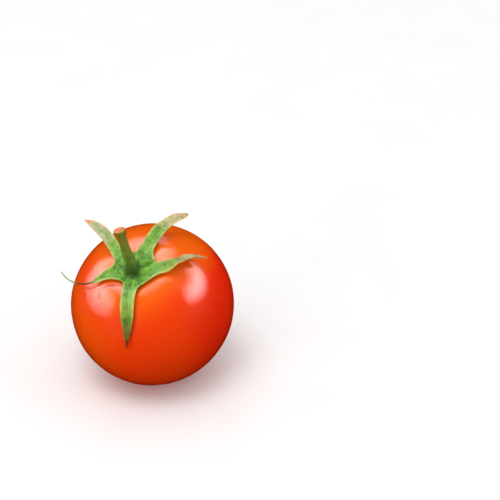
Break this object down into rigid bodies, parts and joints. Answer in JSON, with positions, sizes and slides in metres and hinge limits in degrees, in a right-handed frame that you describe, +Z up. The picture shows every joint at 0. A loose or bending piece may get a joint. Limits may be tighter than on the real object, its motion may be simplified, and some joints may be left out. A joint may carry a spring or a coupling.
{
  "type": "cherry tomato",
  "caption": "Round red cherry tomato as picked, with its green calyx and a short stem, lying on a small flat spot.",
  "frame": {"origin": "centre of the small flat spot that the fruit lies on", "axes": "+Z up from the surface it lies on; the stem end leans 32 degrees from +Z, towards -Y and a little towards -X"},
  "size_m": [0.0366, 0.0352, 0.0402],
  "materials": {
    "fruit_skin": "smooth, waxy and glossy tomato skin, orange-red at the shoulders and deeper red below",
    "calyx_green": "soft, finely haired leaf, mid green with yellower edges and tips",
    "stem_green": "finely haired green stalk, brownish at the end where it came off its truss"
  },
  "bodies": {
    "root": {"fruit": "fruit_skin", "calyx_disc": "calyx_green", "sepal_front": "calyx_green", "sepal_right": "calyx_green", "sepal_back_right": "calyx_green", "sepal_back_left": "calyx_green", "sepal_left": "calyx_green", "stem": "stem_green"}
  },
  "joints": []
}
